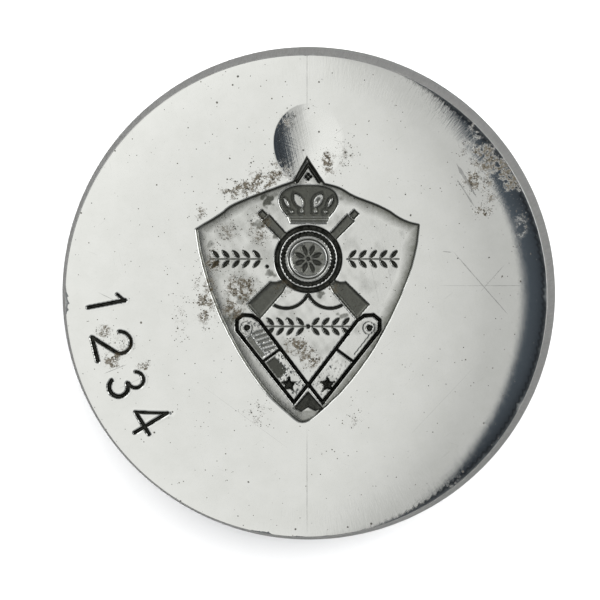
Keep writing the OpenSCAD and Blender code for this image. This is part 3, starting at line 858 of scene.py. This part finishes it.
# The polished steel, and its scratches and setting-out lines as (from, to, half width) in mm.
SCRATCHES = [((0.15, 32.5), (0.15, 24.6), 0.035), ((0.15, -17.2), (0.15, -31.3), 0.04),
             ((17.6, 1.4), (28.8, 1.4), 0.03), ((19.4, 5.9), (26.6, -2.4), 0.07),
             ((26.1, 4.1), (23.0, 0.6), 0.04), ((18.0, 5.9), (19.2, 5.8), 0.05),
             ((19.8, 17.5), (22.5, 13.0), 0.24), ((19.9, 15.4), (22.2, 11.8), 0.11),
             ((-13.4, -12.0), (-2.4, -20.0), 0.008), ((-26.6, -10.2), (-23.6, -9.0), 0.06),
             ((-27.4, 0.5), (-23.9, -1.2), 0.04), ((-24.9, -12.3), (-20.9, -10.4), 0.03),
             ((8.0, 6.5), (9.6, -0.8), 0.01), ((10.0, 7.0), (11.4, 1.2), 0.012),
             ((14.0, -18.0), (22.0, -9.5), 0.008)]
at = lambda x, y: (x * MM, y * MM, 0.0)
n, bsdf, P, face_steel = material("polished tool steel")
flat = n.vec("MULTIPLY", P, (1, 1, 0))
bowl = n.attr("bowl")
near = n.attr("rust")
lines = None
for a, b, w in SCRATCHES:
    one = n.use(scratch, P=P, A=at(*a), B=at(*b), Width=w * MM)["Mask"]
    lines = one if lines is None else n.most(lines, one)
clumps = n.remap(n.noise(flat, 850.0, 4.0, 0.65), 0.36, 0.60, 0.12, 1.5)
density = n.math("ADD", n.times(near, clumps), n.times(n.attr("dull_and_shade"), 0.05))
small = n.use(pepper, P=flat, Density=n.math("ADD", n.times(density, 1.0), 0.012), Scale=5200.0)
large = n.use(pepper, P=flat, Density=n.math("ADD", n.times(density, density, 0.7), 0.004), Scale=2900.0)
specks = n.most(small["Mask"], large["Mask"])
mottle = n.noise(flat, 1500.0, 5.0, 0.65)
hair = n.use(hairlines, P=P, Spacing=3400.0)
# the dullness attribute mixes the face toward a dark grey and, above 1, toward near black: both stand for the
# dull bottoms of the cuts and for painted shade along the shield's walls
dull_and_shade = n.times(n.attr("dull_and_shade"), n.remap(mottle, 0.3, 0.7, 0.80, 1.12))
low = n.math("ADD", dull_and_shade, 0.0, clamp=True)
deep = n.math("SUBTRACT", dull_and_shade, 1.0, clamp=True)
bright = n.color(n.remap(n.noise(flat, 260.0, 6.0, 0.7), 0.3, 0.7), (0.665, 0.672, 0.648, 1),
                 (0.70, 0.706, 0.685, 1))
bright = n.color(n.times(hair["Bold"], 0.14), bright, (0.40, 0.40, 0.38, 1))
# dark grey of the cuts' dull bottoms, also the colour of the painted shade in the field along the walls
sunk_and_shade_tone = n.color(n.remap(mottle, 0.35, 0.7), (0.10, 0.102, 0.09, 1), (0.19, 0.195, 0.17, 1))
base = n.color(low, bright, sunk_and_shade_tone)
# near black of old polish in the deepest cuts, also reached by the painted shade on the upper walls
base = n.color(deep, base, (0.014, 0.015, 0.013, 1))
ochre = n.times(n.remap(density, 0.22, 0.85), n.remap(n.noise(flat, 2200.0, 4.0, 0.7), 0.40, 0.53, 0.05, 1.0))
base = n.color(n.times(ochre, 0.92), base, (0.058, 0.043, 0.021, 1))
speck_tone = n.color(n.math("MULTIPLY", small["Shade"], 0.7), (0.018, 0.018, 0.015, 1),
                     (0.10, 0.082, 0.052, 1))
base = n.color(n.times(specks, 0.85), base, speck_tone)
base = n.color(n.times(hair["Bold"], bowl, 0.55), base, (0.22, 0.22, 0.21, 1))
base = n.color(n.times(lines, 0.5), base, (0.2, 0.2, 0.195, 1))
n.put(base, bsdf.inputs["Base Color"])
n.put(n.math("SUBTRACT", 1.0, n.most(n.times(ochre, 0.45), n.times(specks, 0.15))), bsdf.inputs["Metallic"])
rough = n.remap(n.noise(flat, 90.0, 4.0), 0.3, 0.7, 0.025, 0.055)
for more, k in ((low, 0.30), (deep, 0.25), (ochre, 0.35), (specks, 0.4), (bowl, 0.08), (lines, 0.25)):
    rough = n.math("ADD", rough, n.times(more, k))
n.put(n.math("ADD", rough, 0.0, clamp=True), bsdf.inputs["Roughness"])
# its bump: hairlines all over and deeper in the hollow, spokes at the rolled edge, pits and grain
radius_m = n.vec("LENGTH", flat)
round_way = n.add("ShaderNodeSeparateXYZ", {0: n.scale(n.vec("NORMALIZE", flat), 120.0)})
spokes = n.noise(n.join(round_way.outputs[0], round_way.outputs[1], n.times(radius_m, 650.0)), 1.0, 4.0, 0.7)
height = n.times(hair["Height"], n.math("ADD", n.times(bowl, 0.000009), 0.0000004))
height = n.math("ADD", height, n.times(spokes, n.remap(radius_m, 0.0262, 0.029), 0.0000065))
height = n.math("ADD", height, n.times(n.noise(flat, 2300.0, 3.0, 0.65),
                                       n.math("ADD", low, n.times(ochre, 0.3), clamp=True), 0.00003))
n.put(n.add("ShaderNodeBump", {"Height": height, "Distance": 1.0}).outputs[0], bsdf.inputs["Normal"])

side_steel = ground_steel("ground tool steel", (0.36, 0.36, 0.35), 0.36, 0.5, 1.0, 0.35, 620.0, 0.12)
underside = plate(BLOCK_H, FOOT_R - 0.25, RIM_N, die_holes)
# the dullness attribute carries painted shade along the shield's walls as well as the dull bottoms of the
# cuts
build("die_disc", [(top, triangulate(pts)), (flank, quads(len(rows), RIM_N)), underside, *wells],
      "engraved_die", [face_steel, side_steel],
      {"dull_and_shade": dullness_and_shade, "bowl": in_bowl, "rust": rusty},
      mat_of=lambda c: (np.hypot(c[:, 0], c[:, 1]) > FACE_R - 0.01) | (c[:, 2] < 34))

# ---------------------------------------------------------------- cap screws
# Socket-head screws of black-oxide steel with a knurled head, put in from below, their heads sunk
# in the block's counterbores and their threads in the die.
SCREW_N = 96
black_oxide = ground_steel("black oxide", (0.055, 0.055, 0.06), 0.42, 0.5, 0.1, 0.15)
a = np.arange(SCREW_N) * 2 * math.pi / SCREW_N
hexagon = 2.5 / np.cos((a + math.pi / 6) % (math.pi / 3) - math.pi / 6)
knurl = 0.09 * (0.5 + 0.5 * np.cos(a * 32))
shape = [(hexagon * 0.4, 4.1), (hexagon, 3.8), (hexagon, 1.0), (hexagon + 0.15, 0.8), (4.4, 0.8),
         (4.7, 0.95), (4.85, 1.25), (5.0 - knurl, 1.6), (5.0 - knurl, 6.2), (4.9, 6.45), (4.9, 6.8),
         (3.0, 6.8), (3.0, 14.0)]
head = np.concatenate([np.c_[np.broadcast_to(r, a.shape) * np.cos(a), np.broadcast_to(r, a.shape) * np.sin(a),
                             np.full(SCREW_N, z)] for r, z in shape])
turns, turn_faces = thread(2.95, 2.5, 1.0, 14.0, 25.5, SCREW_N, 8)
for name, (x, y) in zip("abc", screws):
    upper_part = (head + (x, y, 0), quads(len(shape), SCREW_N), np.arange(SCREW_N)[None])
    neck = revolve([(3.0, 14.0), (2.5, 14.0)], SCREW_N, (x, y))
    tip = (*revolve([(2.5, turns[-1, 2]), (2.1, 26.0), (1.0, 26.0)], SCREW_N, (x, y)),
           (2 * SCREW_N + np.arange(SCREW_N))[None])
    build(f"screw_{name}", [upper_part, (turns + (x, y, 0), turn_faces), neck, tip], f"cap_screw_{name}",
          [black_oxide], sharp=35)

# ---------------------------------------------------------------- floor, light and camera
# A pale plain floor; one large softbox overhead and to the left that the polished face mirrors,
# with a dark gap to its right, and soft lamps that light the floor and the flank of the die.
def plane(name, corners, z, mat):
    """A flat sheet at height z with the given (x, y) corners, part of the set and not of the die."""
    me = bpy.data.meshes.new(name)
    me.from_pydata([(x, y, z) for x, y in corners], [], [tuple(range(len(corners)))])
    me.materials.append(mat)
    o = bpy.data.objects.new(name, me)
    bpy.context.collection.objects.link(o)
    return o


def lamp(name, at, size, power, glossy=True):
    """A round area lamp that faces the die."""
    l = bpy.data.lights.new(name, "AREA")
    l.shape, l.size, l.energy = "DISK", size, power
    o = bpy.data.objects.new(name, l)
    o.location = at
    o.rotation_euler = (Vector((0, 0, 0.03)) - Vector(at)).to_track_quat("-Z", "Y").to_euler()
    o.visible_glossy = glossy
    o.visible_camera = False
    bpy.context.collection.objects.link(o)


n, bsdf, P, paper = material("paper")
n.put(n.color(n.remap(n.noise(P, 8.0, 4.0), 0.3, 0.7), (0.91, 0.91, 0.91, 1), (0.93, 0.93, 0.93, 1)),
      bsdf.inputs["Base Color"])
bsdf.inputs["Roughness"].default_value = 0.9
plane("floor", [(-1.5, -1.5), (1.5, -1.5), (1.5, 1.5), (-1.5, 1.5)], 0, paper)

glow = bpy.data.materials.new("softbox")
glow.use_nodes = True
glow.node_tree.nodes.clear()
n = Nodes(glow.node_tree)
sep = n.add("ShaderNodeSeparateXYZ", {0: n.add("ShaderNodeTexCoord").outputs["Object"]})
strength = n.times(n.remap(sep.outputs[0], -0.35, 0.25, 1.14, 0.97),
                   n.remap(sep.outputs[0], -0.02, 0.14, 1.0, 0.72),
                   n.remap(sep.outputs[1], -0.35, 0.35, 0.95, 1.03))
emit = n.add("ShaderNodeEmission", {"Color": (1.0, 1.0, 0.985, 1), "Strength": strength})
n.put(emit.outputs[0], n.add("ShaderNodeOutputMaterial").inputs[0])
softbox = plane("softbox", [(-0.95, -0.85), (0.20, -0.85), (0.245, -0.22), (0.27, 0.0), (0.207, 0.18),
                            (0.31, 0.60), (0.31, 0.85),
                            (-0.95, 0.85)], 1.3, glow)
softbox.visible_camera = False
softbox.visible_shadow = False

lamp("floor fill", (0.12, 0.30, 1.2), 1.3, 27, glossy=False)
lamp("right panel", (1.0, 0.30, 0.50), 0.9, 6)
lamp("left panel", (-0.9, 0.7, 0.5), 0.8, 3)

world = bpy.data.worlds.new("studio")
bpy.context.scene.world = world
world.use_nodes = True
world.node_tree.nodes.clear()
n = Nodes(world.node_tree)
sky = n.add("ShaderNodeSeparateXYZ", {0: n.add("ShaderNodeTexCoord").outputs["Generated"]}).outputs[2]
SKY = [(0.0, (0.80, 0.81, 0.82)), (0.45, (0.6, 0.61, 0.62)), (0.86, (0.10, 0.11, 0.12)),
       (0.93, (0.022, 0.025, 0.03)), (0.985, (0.10, 0.12, 0.145))]
ramp = n.add("ShaderNodeValToRGB", {0: sky})
while len(ramp.color_ramp.elements) < len(SKY):
    ramp.color_ramp.elements.new(0.5)
for e, (height, tone) in zip(ramp.color_ramp.elements, SKY):
    e.position, e.color = height, (*tone, 1)
n.put(n.add("ShaderNodeBackground", {"Color": ramp.outputs[0]}).outputs[0],
      n.add("ShaderNodeOutputWorld").inputs[0])

cam = bpy.data.cameras.new("camera")
cam.lens, cam.sensor_width = 341.3, 36.0
camera = bpy.data.objects.new("camera", cam)
bpy.context.collection.objects.link(camera)
eye, aim = Vector((0.0119, 0.0127, 0.787)), Vector((-0.00078, -0.00050, 0.0374))
back = (eye - aim).normalized()
right = Vector((0, 1, 0)).cross(back).normalized()
camera.matrix_world = Matrix.Translation(eye) @ Matrix((right, back.cross(right), back)).transposed().to_4x4()
bpy.context.scene.camera = camera
bpy.context.scene.view_settings.view_transform = "Standard"
